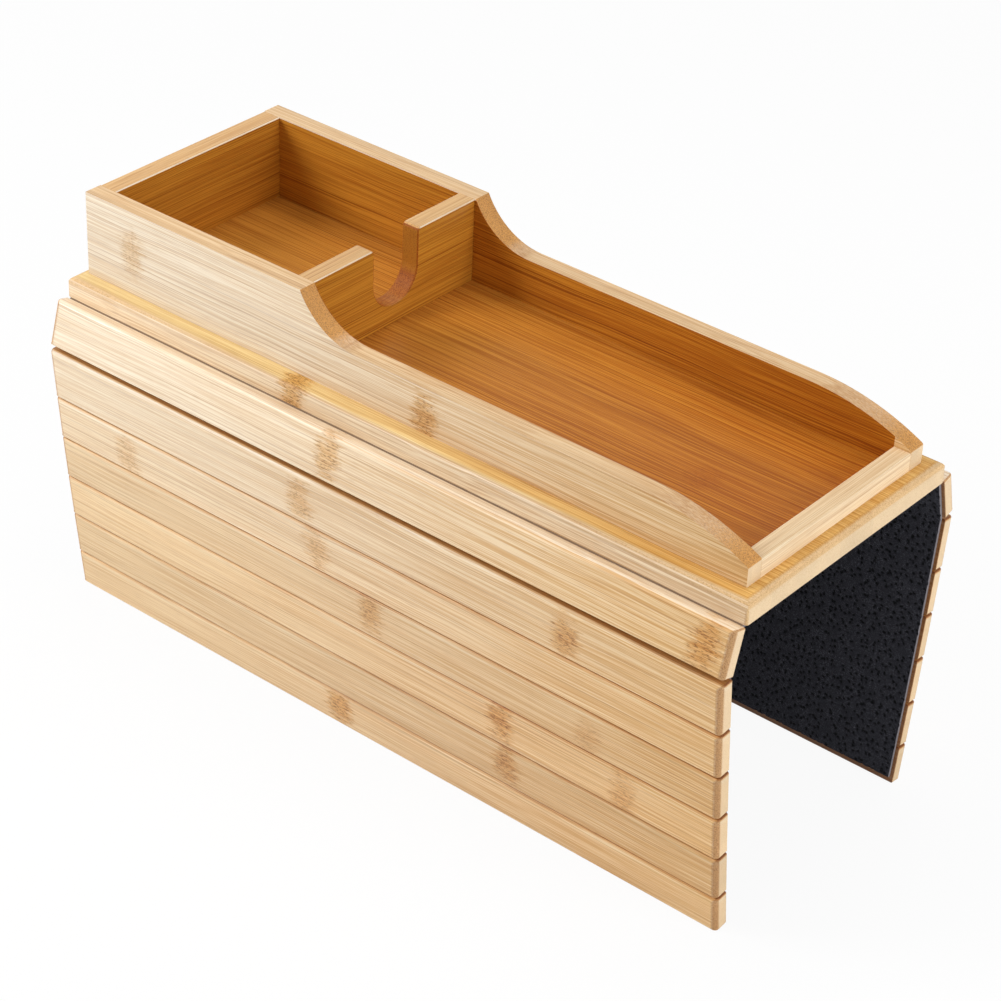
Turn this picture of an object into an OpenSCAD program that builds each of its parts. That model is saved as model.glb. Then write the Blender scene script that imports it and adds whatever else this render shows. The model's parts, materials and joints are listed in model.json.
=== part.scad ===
// Sofa arm tray: a bamboo tray box on a base board, and two panels of slats that hang
// down the sides of a sofa arm. A felt lining under the board and behind the slats is
// glued to all of them, and is the only hinge between them.
// +X runs along the tray to its low front end, +Y to the far panel and +Z up.
// The origin is the centre of the lining's underside, which rests on the sofa arm.

/* [Base board] */
// Length of the base board and of every slat
board_l = 370; // [300:5:450]
// Width of the base board
board_w = 138.2; // [115:0.1:170]
// Thickness of the base board
board_t = 10; // [8:0.5:14]
// Radius of the board's top edges
board_edge_r = 4; // [1:0.5:5]
// Radius of the board's corners, seen from above
board_corner_r = 1.5; // [1:0.5:8]

/* [Tray box] */
// Board left showing behind the box
rear_margin = 5.2; // [5:0.1:12]
// Board left showing in front of the box
front_margin = 7.2; // [5:0.1:12]
// Board left showing on each side of the box
side_margin = 8.3; // [5:0.1:14]
// Thickness of the side walls
side_wall_t = 9; // [6:0.5:12]
// Thickness of the rear wall
rear_wall_t = 9.5; // [6:0.5:12]
// Thickness of the divider between the cup bay and the snack bay
divider_t = 9; // [6:0.5:12]
// Thickness of the front rail
rail_t = 8.5; // [6:0.5:12]
// Height of the front rail
rail_h = 8.5; // [7:0.5:9]
// Clear length of the cup bay
cup_bay_l = 108; // [80:1:130]
// Height of the walls round the cup bay
high_h = 40.3; // [32:0.1:54]
// Height of the side walls along the snack bay
low_h = 21.5; // [14:0.5:28]
// Height of the side walls at their front ends
tip_h = 9.1; // [8:0.1:12]
// Side wall that stays at full height in front of the divider
scoop_lead = 0.5; // [0:0.1:10]
// Radius of the scoop from the high wall down to the low wall
scoop_r = 35; // [20:1:60]
// Length of the arc by which the side walls fall to their front ends
nose_l = 52; // [20:1:90]
// Radius of the rounded top edge at the front end of a side wall
tip_r = 1.5; // [0.5:0.1:3]

/* [Cup handle slot] */
// Width of the slot
slot_w = 28; // [16:1:36]
// Height of the slot's lowest point above the board
slot_floor = 9; // [8:0.5:14]
// Radius of the slot's two top corners
slot_lip_r = 2; // [0.5:0.1:4]

/* [Side panels] */
// Slats in each panel
slat_count = 7; // [2:1:9]
// Width of a slat
slat_w = 21.2; // [14:0.2:26]
// Width of the second slat, the first of the upright ones
second_slat_w = 24.6; // [14:0.2:28]
// Width of the lowest slat
last_slat_w = 18.2; // [12:0.2:26]
// Thickness of a slat
slat_t = 7; // [5:0.5:9]
// Gap between neighbouring slats when a panel lies flat
slat_gap = 0.8; // [0.4:0.1:1.6]
// Radius of a slat's long outer edges
slat_edge_r = 2.2; // [0.5:0.1:4]
// Radius of a slat's outer edges at its two ends
slat_end_r = 3; // [0.5:0.1:4]
// Radius of a slat's corners, seen from its outer face
slat_corner_r = 1.2; // [0.5:0.1:4]
// Bend from the flat at the first fold, between the board and a slat
shoulder_bend = 74.8; // [0:0.1:90]
// Bend at the second fold
knee_bend = 20.3; // [0:0.1:30]
// Bend at each fold below the second
lower_bend = 0.4; // [0:0.1:5]

/* [Felt lining] */
// Thickness of the felt
felt_t = 1.5; // [0.8:0.1:3]
// Wood left bare at the ends of the board and the slats
felt_end_inset = 3; // [0:0.5:10]
// Wood left bare at the lower edge of each panel
felt_hem_inset = 3; // [0:0.5:10]
// Slit that parts the felt along each fold line, so that each slat carries its own strip
felt_slit = 0.1; // [0.06:0.01:0.3]
// Slant of the felt's edges at the first fold, which lets it bend inwards by twice as much
shoulder_slant = 46; // [30:1:50]
// Slant of the felt's edges at the folds below it
fold_slant = 34; // [20:1:45]

/* [Screws] */
// Shank diameter of the screws that hold the box to the board
screw_d = 3; // [2.5:0.1:3.5]
// Head diameter
screw_head_d = 5.8; // [5:0.1:7]
// Depth that a screw bites into a wall
screw_bite = 6; // [4:0.5:6]
// Length of a screw's point
screw_point = 2.5; // [1:0.1:3]
// Room round a screw in its hole
screw_room = 0.1; // [0.05:0.01:0.2]
// Screws in each side wall
side_screws = 4; // [2:1:6]
// Distance of the first and last of them from the ends of the wall
side_screw_inset = 24; // [16:1:40]
// Distance of the screws in the cross pieces from the side walls
cross_screw_inset = 22; // [8:1:30]

/* [Hidden] */
$fn = 120;

// Planes of the box, seen from the side and from above
board_z = felt_t;
top_z = board_z + board_t;
rear_x = -board_l / 2 + rear_margin;
front_x = board_l / 2 - front_margin;
box_l = front_x - rear_x;
box_w = board_w - 2 * side_margin;
bay_w = box_w - 2 * side_wall_t;
divider_x = rear_x + rear_wall_t + cup_bay_l;
rail_x = front_x - rail_t;

// The side wall's outline, from the rear end of the wall and the top of the board
scoop_x = rear_wall_t + cup_bay_l + divider_t + scoop_lead;
scoop_drop = high_h - low_h;
scoop_run = sqrt(2 * scoop_r * scoop_drop - pow(scoop_drop, 2));
nose_drop = low_h - tip_h;
nose_r = (pow(nose_l, 2) + pow(nose_drop, 2)) / (2 * nose_drop);
// The rounding at the front end touches the arc of the nose and the end of the wall
tip_reach = sqrt(pow(nose_r - tip_r, 2) - pow(nose_l - tip_r, 2));
tip_slope = (nose_l - tip_r) / tip_reach;

// The folds of a panel, from the board's edge down. Each turns on the face of the felt that
// is glued to the wood.
slats = [1:slat_count];
function width(n) = n == slat_count ? last_slat_w : n == 2 ? second_slat_w : slat_w;
function pitch(n) = width(n) + slat_gap;
function bend(n) = n == 1 ? shoulder_bend : n == 2 ? knee_bend : lower_bend;
function slope(n) = n == 0 ? 0 : slope(n - 1) + bend(n);
function fold(n) = n == 1
    ? [board_w / 2 + slat_gap / 2, felt_t]
    : fold(n - 1) + pitch(n - 1) * [cos(slope(n - 1)), -sin(slope(n - 1))];
function cut_back(n) = felt_t * tan(n == 1 ? shoulder_slant : fold_slant);

// The screws: their sizes, and their places on the board
screw_r = screw_d / 2;
head_r = screw_head_d / 2;
head_h = head_r - screw_r;
screw_l = board_t + screw_bite;
hole_end = 0.5;
over = 1;
side_screw_y = (box_w - side_wall_t) / 2;
side_screw_step = (box_l - 2 * side_screw_inset) / (side_screws - 1);
cross_screw_y = bay_w / 2 - cross_screw_inset;
cross_screw_x = [rear_x + rear_wall_t / 2, divider_x + divider_t / 2, rail_x + rail_t / 2];
screw_places = concat(
    [for (s = [-1, 1], n = [0:side_screws - 1])
        [rear_x + side_screw_inset + n * side_screw_step, s * side_screw_y]],
    [for (s = [-1, 1], x = cross_screw_x) [x, s * cross_screw_y]]
);

board_colour = "#e4c28e";
box_colour = "#ecd0a2";
slat_colour = "#edcf9f";
felt_colour = "#26272e";
steel_colour = "#b9bab6";

// Rectangle centred on X and standing on Y = 0, with its two upper corners rounded
module eased_outline(w, h, r) {
    translate([-w / 2, 0]) square([w, h - r]);
    translate([-w / 2 + r, 0]) square([w - 2 * r, h]);
    for (x = [r - w / 2, w / 2 - r]) translate([x, h - r]) circle(r);
}

// Rectangle centred on both axes, with all four corners rounded
module rounded_plan(l, w, r) {
    square([l, w - 2 * r], center = true);
    square([l - 2 * r, w], center = true);
    for (x = [r - l / 2, l / 2 - r], y = [r - w / 2, w / 2 - r]) translate([x, y]) circle(r);
}

// Bar along X, centred on X and Y, flat underneath and rounded along its upper edges
module eased_bar(l, w, h, edge_r, end_r, corner_r) {
    intersection() {
        rotate([90, 0, 90]) linear_extrude(l + 2 * over, center = true) eased_outline(w, h, edge_r);
        rotate([90, 0, 0]) linear_extrude(w + 2 * over, center = true) eased_outline(l, h, end_r);
        translate([0, 0, -over]) linear_extrude(h + 2 * over) rounded_plan(l, w, corner_r);
    }
}

// Countersunk wood screw, head down, or the hole that it stands in if there is room round it
module screw_form(room = 0) {
    r = screw_r + room;
    end = screw_l + (room > 0 ? hole_end : 0);
    mouth = room > 0 ? -over : 0;
    rotate_extrude() polygon([
        [0, mouth], [head_r + room, mouth], [head_r + room, 0], [r, head_h],
        [r, end - screw_point], [0, end]
    ]);
}

module screw_holes() {
    for (p = screw_places) translate([p.x, p.y, board_z]) screw_form(screw_room);
}

module base_board() {
    color(board_colour) difference() {
        translate([0, 0, board_z])
            eased_bar(board_l, board_w, board_t, board_edge_r, board_edge_r, board_corner_r);
        screw_holes();
    }
}

// Side wall from its rear end along X: high round the cup, scooped down to the snack bay,
// and falling by an arc to its front end
module side_wall_outline() {
    scoop_end = scoop_x + scoop_run;
    difference() {
        square([scoop_end, high_h]);
        translate([scoop_end, low_h + scoop_r]) circle(scoop_r, $fn = 360);
    }
    difference() {
        square([box_l, low_h]);
        translate([box_l - nose_l, low_h - nose_r]) difference() {
            square([nose_l + over, nose_r + over]);
            circle(nose_r, $fn = 720);
        }
        translate([box_l - tip_r, low_h - nose_r + tip_reach]) difference() {
            polygon([[0, 0], [2 * tip_r, 0], 2 * tip_r * [1, 1], 2 * tip_r * [tip_slope, 1]]);
            circle(tip_r);
        }
    }
}

module side_wall(side) {
    outer_y = side * box_w / 2;
    color(box_colour) difference() {
        translate([rear_x, side > 0 ? outer_y : outer_y + side_wall_t, top_z])
            rotate([90, 0, 0]) linear_extrude(side_wall_t) side_wall_outline();
        screw_holes();
    }
}

// Piece that stands across the box between the side walls, with its rear face at x
module cross_piece(x, t, h) {
    translate([x, -bay_w / 2, top_z]) cube([t, bay_w, h]);
}

module rear_wall() {
    color(box_colour) difference() {
        cross_piece(rear_x, rear_wall_t, high_h);
        screw_holes();
    }
}

module front_rail() {
    color(box_colour) difference() {
        cross_piece(rail_x, rail_t, rail_h);
        screw_holes();
    }
}

// Slot for a cup's handle: round at the bottom, with its top corners eased outwards
module slot_outline() {
    foot_y = slot_floor + slot_w / 2;
    lip_x = slot_w / 2 + slot_lip_r;
    translate([0, foot_y]) circle(d = slot_w);
    translate([-slot_w / 2, foot_y]) square([slot_w, high_h - foot_y + over]);
    for (s = [0, 1]) mirror([s, 0]) translate([0, high_h - slot_lip_r]) difference() {
        square([lip_x, slot_lip_r + over]);
        translate([lip_x, 0]) circle(slot_lip_r);
    }
}

module divider() {
    color(box_colour) difference() {
        cross_piece(divider_x, divider_t, high_h);
        translate([divider_x - over, 0, top_z]) rotate([90, 0, 90])
            linear_extrude(divider_t + 2 * over) slot_outline();
        screw_holes();
    }
}

module box_screws() {
    color(steel_colour) for (p = screw_places) translate([p.x, p.y, board_z]) screw_form();
}

// Puts a flat piece of a panel in its place: +Y runs from fold n to the next one down, Z = 0
// is the glued face and +Z is the outer side
module on_fold(side, n) {
    mirror([0, side > 0 ? 0 : 1, 0])
        translate([0, fold(n)[0], fold(n)[1]]) rotate([-slope(n), 0, 0]) children();
}

module slat(side, n) {
    color(slat_colour) on_fold(side, n) translate([0, pitch(n) / 2, 0])
        eased_bar(board_l, width(n), slat_t, slat_edge_r, slat_end_r, slat_corner_r);
}

// Strip of felt along X, from its outline across the strip
module felt_strip(outline) {
    rotate([90, 0, 90]) linear_extrude(board_l - 2 * felt_end_inset, center = true)
        polygon(outline);
}

module board_lining() {
    edge = fold(1)[0] - felt_slit / 2;
    free = edge - cut_back(1);
    color(felt_colour) felt_strip([[-free, 0], [free, 0], [edge, felt_t], [-edge, felt_t]]);
}

// Strip of the lining behind slat n. The last one stops short of the slat's lower edge.
module lining(side, n) {
    last = n == slat_count;
    start = felt_slit / 2;
    end = last ? pitch(n) - slat_gap / 2 - felt_hem_inset : pitch(n) - felt_slit / 2;
    free_end = end - (last ? 0 : cut_back(n + 1));
    color(felt_colour) on_fold(side, n)
        felt_strip([[start + cut_back(n), -felt_t], [free_end, -felt_t], [end, 0], [start, 0]]);
}

base_board();
side_wall(-1);  // near_side_wall
side_wall(1);  // far_side_wall
rear_wall();
divider();
front_rail();
box_screws();
board_lining();
for (side = [-1, 1], n = slats) {
    name = side > 0 ? "far" : "near";
    slat(side, n);
    lining(side, n);
}
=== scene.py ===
"""Sofa arm tray in bamboo: a tray box on a base board, and two felt-backed panels of slats.

Everything is in metres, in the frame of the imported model: +X to the low front end of the
tray, +Y to the far panel, +Z up, and the origin under the middle of the board's felt.
"""

from __future__ import annotations

import json
import logging
import math
from collections.abc import Sequence
from dataclasses import dataclass, field, replace
from enum import Enum

import bmesh
import bpy
import numpy as np
from mathutils import Matrix, Vector

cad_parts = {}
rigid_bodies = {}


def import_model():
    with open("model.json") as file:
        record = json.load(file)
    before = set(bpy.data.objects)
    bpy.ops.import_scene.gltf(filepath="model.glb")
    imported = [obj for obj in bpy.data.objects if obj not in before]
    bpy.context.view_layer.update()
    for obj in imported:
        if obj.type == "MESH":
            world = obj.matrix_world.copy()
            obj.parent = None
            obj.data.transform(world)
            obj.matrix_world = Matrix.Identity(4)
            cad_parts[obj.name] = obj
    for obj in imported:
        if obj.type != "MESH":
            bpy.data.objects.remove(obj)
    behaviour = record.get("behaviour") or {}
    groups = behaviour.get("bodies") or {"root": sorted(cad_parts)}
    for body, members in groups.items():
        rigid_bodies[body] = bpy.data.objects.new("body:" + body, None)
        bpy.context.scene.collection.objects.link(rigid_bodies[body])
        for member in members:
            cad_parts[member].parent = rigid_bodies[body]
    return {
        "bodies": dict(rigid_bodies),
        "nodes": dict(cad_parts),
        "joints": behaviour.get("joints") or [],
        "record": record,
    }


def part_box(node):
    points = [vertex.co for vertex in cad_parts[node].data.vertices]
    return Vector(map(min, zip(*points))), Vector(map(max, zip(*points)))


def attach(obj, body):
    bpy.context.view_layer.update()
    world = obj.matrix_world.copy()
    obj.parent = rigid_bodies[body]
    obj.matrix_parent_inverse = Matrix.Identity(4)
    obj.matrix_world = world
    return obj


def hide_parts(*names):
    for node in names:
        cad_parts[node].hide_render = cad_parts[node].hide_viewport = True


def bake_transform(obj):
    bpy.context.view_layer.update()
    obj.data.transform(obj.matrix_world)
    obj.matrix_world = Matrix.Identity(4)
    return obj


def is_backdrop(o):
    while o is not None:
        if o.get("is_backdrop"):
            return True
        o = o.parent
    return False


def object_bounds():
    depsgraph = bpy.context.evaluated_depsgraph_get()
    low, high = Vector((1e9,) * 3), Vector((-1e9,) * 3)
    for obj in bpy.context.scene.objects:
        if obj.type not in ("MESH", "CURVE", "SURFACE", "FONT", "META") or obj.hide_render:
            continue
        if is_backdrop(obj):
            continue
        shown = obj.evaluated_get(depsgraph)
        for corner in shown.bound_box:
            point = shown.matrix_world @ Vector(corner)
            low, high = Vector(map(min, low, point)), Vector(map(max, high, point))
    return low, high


LOG = logging.getLogger("arm_tray")
MM = 0.001
TINY = 1e-5
KNUCKLES = ("knuckle_a", "knuckle_b")
NO_KNUCKLE = (9.0, 9.0, 0.0)

Socket = bpy.types.NodeSocket
Value = float | Socket
Colour = tuple[float, float, float]
Triple = tuple[float, float, float]
WHITE: Colour = (1.0, 1.0, 1.0)


class Side(Enum):
    """The two sides of the tray, by the sign of Y."""

    NEAR = -1
    FAR = 1

    @property
    def word(self) -> str:
        """The side's name in the frame."""
        return self.name.lower()


class Grain(Enum):
    """The axis that a plank's fibres run along, and the axes across and through it."""

    LONG_UPRIGHT = (0, 2, 1)
    LONG_FLAT = (0, 1, 2)
    CROSS_UPRIGHT = (1, 2, 0)

    @property
    def axes(self) -> tuple[int, int, int]:
        """Indices of the axes along, across and through the plank."""
        return self.value


class Ease(Enum):
    """How far an edge of the tray box is eased, as a share of the full ease."""

    NONE = 0.0
    SEAM = 0.22
    FULL = 1.0


def srgb(red: float, green: float, blue: float) -> Colour:
    """Turns a colour given as 0 to 255 on a screen into linear light.

    Args:
        red: Red, 0 to 255.
        green: Green, 0 to 255.
        blue: Blue, 0 to 255.

    Returns:
        The colour as three linear values.
    """
    shares = (red / 255, green / 255, blue / 255)
    return tuple(c / 12.92 if c <= 0.04045 else ((c + 0.055) / 1.055) ** 2.4 for c in shares)


class Graph:
    """Adds and links the nodes of one tree."""

    def __init__(self, tree: bpy.types.NodeTree) -> None:
        """Keeps the tree that the nodes go into."""
        self.tree = tree

    def node(self, kind: str, **settings: object) -> bpy.types.Node:
        """Adds a node.

        Args:
            kind: The node's type.
            settings: Properties to set on it.

        Returns:
            The node.
        """
        made = self.tree.nodes.new(kind)
        for name, value in settings.items():
            setattr(made, name, value)
        return made

    def feed(self, socket: Socket, value: object) -> None:
        """Links a socket to another one, or sets its value.

        Args:
            socket: The input.
            value: An output socket, or a plain value.
        """
        if isinstance(value, bpy.types.NodeSocket):
            self.tree.links.new(value, socket)
        else:
            socket.default_value = value

    def math(self, operation: str, *values: Value) -> Socket:
        """Adds a Math node.

        Args:
            operation: The operation's name.
            values: Its inputs, in order.

        Returns:
            The result.
        """
        made = self.node("ShaderNodeMath", operation=operation)
        for socket, value in zip(made.inputs, values):
            self.feed(socket, value)
        return made.outputs[0]

    def plus(self, a: Value, b: Value) -> Socket:
        """Adds two values."""
        return self.math("ADD", a, b)

    def minus(self, a: Value, b: Value) -> Socket:
        """Takes the second value from the first."""
        return self.math("SUBTRACT", a, b)

    def times(self, a: Value, b: Value) -> Socket:
        """Multiplies two values."""
        return self.math("MULTIPLY", a, b)

    def attribute(self, name: str) -> Socket:
        """Reads a vector attribute."""
        return self.node("ShaderNodeAttribute", attribute_name=name).outputs["Vector"]

    def vector(self, operation: str, *values: Socket | Triple) -> Socket:
        """Adds a Vector Math node.

        Args:
            operation: The operation's name.
            values: Its vector inputs, in order.

        Returns:
            The resulting vector.
        """
        made = self.node("ShaderNodeVectorMath", operation=operation)
        for socket, value in zip(made.inputs, values):
            self.feed(socket, value)
        return made.outputs["Vector"]

    def split(self, vector: Socket) -> tuple[Socket, Socket, Socket]:
        """Separates a vector.

        Args:
            vector: The vector.

        Returns:
            Its three components.
        """
        made = self.node("ShaderNodeSeparateXYZ")
        self.feed(made.inputs[0], vector)
        return made.outputs[0], made.outputs[1], made.outputs[2]

    def join(self, x: Value, y: Value, z: Value) -> Socket:
        """Combines three values.

        Args:
            x: The first.
            y: The second.
            z: The third.

        Returns:
            The vector.
        """
        made = self.node("ShaderNodeCombineXYZ")
        for socket, value in zip(made.inputs, (x, y, z)):
            self.feed(socket, value)
        return made.outputs[0]

    def ramp(self, value: Value, low: float, high: float) -> Socket:
        """Rises smoothly from 0 to 1 as a value goes from low to high.

        Args:
            value: The value.
            low: Where the rise starts.
            high: Where it ends. It may be under low, and then the ramp falls.

        Returns:
            The ramp, from 0 to 1.
        """
        made = self.node("ShaderNodeMapRange", interpolation_type="SMOOTHSTEP")
        bounds = (low, high, 0.0, 1.0) if low < high else (high, low, 1.0, 0.0)
        for name, number in zip(("From Min", "From Max", "To Min", "To Max"), bounds):
            made.inputs[name].default_value = number
        self.feed(made.inputs["Value"], value)
        return made.outputs["Result"]

    def noise(self, place: Socket, size: Triple, detail: float = 2.0, rough: float = 0.5) -> Socket:
        """Adds a noise whose features have a given size along each axis.

        Args:
            place: Coordinates in metres.
            size: Size of a feature along each of them, in metres.
            detail: Octaves of finer noise.
            rough: Strength of each octave against the one before it.

        Returns:
            The noise, about 0.5.
        """
        made = self.node("ShaderNodeTexNoise")
        scaled = self.vector("MULTIPLY", place, tuple(1 / s for s in size))
        self.feed(made.inputs["Vector"], scaled)
        made.inputs["Scale"].default_value = 1.0
        made.inputs["Detail"].default_value = detail
        made.inputs["Roughness"].default_value = rough
        return made.outputs["Fac"]

    def mix(self, share: Value, low: Socket | Colour, high: Socket | Colour,
            how: str = "MIX") -> Socket:
        """Mixes two colours.

        Args:
            share: Share of the second colour.
            low: The first colour.
            high: The second colour.
            how: The blend type.

        Returns:
            The mixed colour.
        """
        made = self.node("ShaderNodeMix", data_type="RGBA", blend_type=how, clamp_factor=True)
        self.feed(made.inputs[0], share)
        for socket, value in ((made.inputs[6], low), (made.inputs[7], high)):
            self.feed(socket, (*value, 1.0) if isinstance(value, tuple) else value)
        return made.outputs[2]

    def scale(self, colour: Socket, factor: Value) -> Socket:
        """Makes a colour brighter or darker.

        Args:
            colour: The colour.
            factor: What it is multiplied by.

        Returns:
            The scaled colour.
        """
        made = self.node("ShaderNodeVectorMath", operation="SCALE")
        self.feed(made.inputs[0], colour)
        self.feed(made.inputs["Scale"], factor)
        return made.outputs["Vector"]

    def bump(self, shader: bpy.types.Node, height: Socket, strength: float,
             distance: float) -> None:
        """Gives a shader a relief.

        Args:
            shader: The shader.
            height: The relief's height.
            strength: The relief's strength.
            distance: The depth of a height of 1, in metres.
        """
        made = self.node("ShaderNodeBump")
        made.inputs["Strength"].default_value = strength
        made.inputs["Distance"].default_value = distance
        self.feed(made.inputs["Height"], height)
        self.feed(shader.inputs["Normal"], made.outputs["Normal"])


def new_material(name: str) -> tuple[bpy.types.Material, Graph, bpy.types.Node]:
    """Makes a material with an empty Principled shader.

    Args:
        name: The material's name.

    Returns:
        The material, its graph and its shader.
    """
    made = bpy.data.materials.new(name)
    made.use_nodes = True
    graph = Graph(made.node_tree)
    return made, graph, made.node_tree.nodes["Principled BSDF"]


@dataclass(frozen=True)
class Bamboo:
    """Laminated bamboo under a satin lacquer.

    It reads "grain", the place in the plank in metres along, across and through it, and
    "knuckle_a" and "knuckle_b", the place along and across, and the strength, of two marks
    where the cane had a joint. A slat also has "panel", its warmth and the distance from the
    joint line above it, which places the painted highlight and shade at the joint. "bay" holds
    the corners of the room inside the walls, where the tone is deepened as painted shade. The
    tints at the slats' joints are a painted highlight and painted shade, each given with the
    distances where it starts and is full. A field that ends in "_size" is the size of a noise's
    features along, across and through the plank, and one that ends in "_share" is how far a
    mark's colour replaces the wood's.
    """

    name: str
    pale: Colour = srgb(252, 239, 217)
    fibre: Colour = srgb(215, 179, 133)
    # Painted shade: a golden tint that deepens along X towards the front, away from the key lamp,
    # on faces picked by how far they face up.
    gold: Colour = (0.90, 0.69, 0.40)
    gold_from: float = -0.16
    gold_to: float = 0.24
    gold_facing: tuple[float, float] = (0.75, 0.35)
    mark: Colour = srgb(158, 100, 46)
    knot_tint: Colour = (0.86, 0.68, 0.44)
    knot: Colour = srgb(124, 72, 26)
    knot_half: tuple[float, float] = (8.2 * MM, 13.0 * MM)
    knot_fray: float = 2.2
    end_pale: Colour = srgb(230, 204, 166)
    end_dot: Colour = srgb(196, 156, 108)
    band_pale: Colour = srgb(216, 162, 92)
    band_dot: Colour = srgb(140, 88, 40)
    # Painted shade on upward faces, such as the tops of the walls, the rims and the board.
    rim_tint: Colour = WHITE
    # Painted highlight and painted shade at the slats' joints.
    joint_tints: tuple[tuple[Colour, float, float], ...] = ()
    warm_tint: Colour = (0.93, 0.80, 0.60)
    # Painted shade on the faces that turn inwards, towards the middle of the tray.
    back_tint: Colour = WHITE
    # Painted shade inside the bays, in the tone and in the fibres.
    bay: tuple[Triple, Triple] | None = None
    bay_tint: Colour = (0.64, 0.325, 0.045)
    bay_fibre: Colour = (0.66, 0.54, 0.42)
    lamina: float = 20.2 * MM
    layer: float = 6.0 * MM
    glue_line: tuple[float, float] = (0.16 * MM, 0.05 * MM)
    sway: float = 2.4 * MM
    sway_size: Triple = (70 * MM, 30 * MM, 30 * MM)
    fine_size: Triple = (60 * MM, 0.42 * MM, 0.42 * MM)
    streak_size: Triple = (160 * MM, 1.3 * MM, 1.3 * MM)
    line_size: Triple = (170 * MM, 0.6 * MM, 0.6 * MM)
    dash_size: Triple = (9 * MM, 0.3 * MM, 0.3 * MM)
    broad_size: Triple = (200 * MM, 11 * MM, 11 * MM)
    ragged_size: Triple = (9 * MM, 1.3 * MM, 1.3 * MM)
    fleck_size: Triple = (1.9 * MM, 0.4 * MM, 0.4 * MM)
    grit_size: Triple = (0.9 * MM, 0.36 * MM, 0.36 * MM)
    fine_share: float = 0.62
    streak_share: float = 0.20
    line_share: float = 0.30
    dash_share: float = 0.16
    glue_share: float = 0.24
    fleck_share: float = 0.72
    cut_share: float = 0.94
    rim_line_share: float = 0.25
    cut_axis: int = 0
    roughness: float = 0.40
    gloss: float = 0.26

    @staticmethod
    def tinted(graph: Graph, colour: Socket, share: Socket, tint: Colour) -> Socket:
        """Multiplies a colour by a tint where a mask says so.

        Args:
            graph: The material's graph.
            colour: The colour.
            share: The mask.
            tint: The tint.

        Returns:
            The tinted colour, or the same one where the tint is white.
        """
        if tint == WHITE:
            return colour
        return graph.mix(share, colour, graph.mix(1.0, colour, tint, "MULTIPLY"))

    def strands(self, graph: Graph, strand: Socket, forward: Socket) -> tuple[Socket, ...]:
        """Draws the fibres of the cane.

        Args:
            graph: The material's graph.
            strand: The place in the plank, with the fibres' sway.
            forward: The share of the way to the front, where the painted shade deepens and the
                fibres are darker.

        Returns:
            The fine fibres, the dark lines, the dark dashes, and the share of the fibre colour.
        """
        fine = graph.noise(strand, self.fine_size, 1.0, 0.6)
        streak = graph.noise(strand, self.streak_size)
        line = graph.ramp(graph.noise(strand, self.line_size, 0.0), 0.63, 0.74)
        dash = graph.ramp(graph.noise(strand, self.dash_size, 0.0), 0.62, 0.78)
        share = graph.plus(graph.times(graph.ramp(fine, 0.36, 0.64), self.fine_share),
                           graph.times(graph.ramp(streak, 0.32, 0.70), self.streak_share))
        share = graph.times(share, graph.math("MULTIPLY_ADD", forward, 0.30, 0.80))
        return fine, line, dash, share

    def laminated(self, graph: Graph, colour: Socket, place: Socket,
                  strand: Socket) -> tuple[Socket, Socket]:
        """Gives each lamina a tone of its own, and draws the glue lines between them.

        Args:
            graph: The material's graph.
            colour: The colour so far.
            place: The place in the plank.
            strand: The place with the fibres' sway.

        Returns:
            The colour, and the brightness of the tone.
        """
        _, across, through = graph.split(place)
        strip = graph.math("DIVIDE", across, self.lamina)
        sheet = graph.math("DIVIDE", through, self.layer)
        tone = graph.node("ShaderNodeTexWhiteNoise", noise_dimensions="3D")
        graph.feed(tone.inputs["Vector"], graph.join(
            graph.math("FLOOR", strip), graph.math("FLOOR", sheet), 0.0))
        broad = graph.noise(strand, self.broad_size, 1.0)
        lift = graph.plus(0.925, graph.times(tone.outputs["Value"], 0.11))
        lift = graph.plus(lift, graph.times(graph.minus(broad, 0.5), 0.16))
        glue = [graph.ramp(graph.times(graph.math("PINGPONG", cell, 0.5), size), *self.glue_line)
                for cell, size in ((strip, self.lamina), (sheet, self.layer))]
        seams = graph.times(graph.math("MAXIMUM", *glue), self.glue_share)
        return graph.mix(seams, graph.scale(colour, lift), self.mark), lift

    def knuckle(self, graph: Graph, name: str, place: Socket, ragged: Socket) -> Socket:
        """Draws one joint mark of the cane.

        Args:
            graph: The material's graph.
            name: The attribute with the mark's place and strength.
            place: The place in the plank.
            ragged: Noise that frays the mark along the fibres.

        Returns:
            The mark's strength, 0 outside it.
        """
        mark_x, mark_y, strength = graph.split(graph.attribute(name))
        x, y, _ = graph.split(place)
        along = graph.math("DIVIDE", graph.minus(x, mark_x), self.knot_half[0])
        across = graph.math("DIVIDE", graph.minus(y, mark_y), self.knot_half[1])
        squares = graph.plus(graph.times(along, along), graph.times(across, across))
        reach = graph.math("SQRT", squares)
        frayed = graph.plus(reach, graph.times(graph.minus(ragged, 0.5), self.knot_fray))
        return graph.times(graph.ramp(frayed, 1.1, 0.35), strength)

    def knotted(self, graph: Graph, colour: Socket, place: Socket, strand: Socket) -> Socket:
        """Draws the joint marks and their dark flecks.

        Args:
            graph: The material's graph.
            colour: The colour so far.
            place: The place in the plank.
            strand: The place with the fibres' sway.

        Returns:
            The colour.
        """
        ragged = graph.noise(strand, self.ragged_size, 2.0, 0.6)
        pair = (self.knuckle(graph, name, place, ragged) for name in KNUCKLES)
        marks = graph.math("MAXIMUM", *pair)
        flecks = graph.ramp(graph.noise(place, self.fleck_size, 1.0), 0.52, 0.64)
        colour = self.tinted(graph, colour, marks, self.knot_tint)
        flecked = graph.times(marks, graph.times(flecks, self.fleck_share))
        return graph.mix(flecked, colour, self.knot)

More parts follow.
